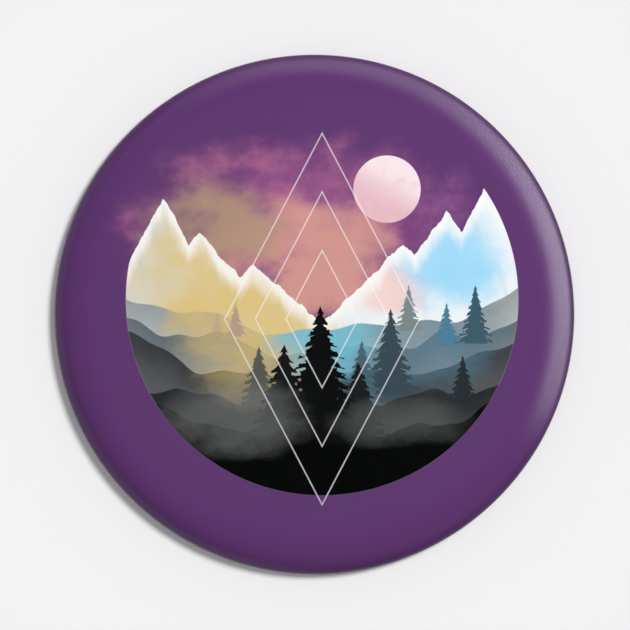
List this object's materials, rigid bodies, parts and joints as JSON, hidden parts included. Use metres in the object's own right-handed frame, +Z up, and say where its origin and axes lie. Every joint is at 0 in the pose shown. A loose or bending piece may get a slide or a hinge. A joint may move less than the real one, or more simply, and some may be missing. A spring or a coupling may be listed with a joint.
{
  "type": "pin-back button badge",
  "caption": "Round domed button badge: a printed disc under clear film on a rolled metal shell, with a safety pin on its back plate.",
  "frame": {"origin": "centre of the back plate's flat rear face, where the badge sits against the garment", "axes": "+Y out of the back towards the garment, -Y the way the printed front faces, +Z up as the badge is worn, +X to the right seen from the front"},
  "size_m": [0.058, 0.0072, 0.058],
  "materials": {
    "tinplate": "bright rolled tinplate",
    "printed_paper": "printed paper",
    "clear_film": "clear gloss film",
    "pin_wire": "bright nickel-plated wire",
    "pin_cap": "bright nickel-plated sheet"
  },
  "bodies": {
    "badge": {"front_shell": "tinplate", "artwork_paper": "printed_paper", "clear_film": "clear_film", "back_plate": "tinplate", "safety_pin_spring": "pin_wire", "safety_pin_cap": "pin_cap"},
    "pin_arm": {"safety_pin_arm": "pin_wire"}
  },
  "joints": [
    {"name": "pin_arm_spring", "type": "hinge", "parent": "badge", "child": "pin_arm", "pos_m": [-0.017, 0.00225, 0.0084], "axis": [0.9653, 0.1063, 0.2385], "range_deg": [0, 160]}
  ]
}
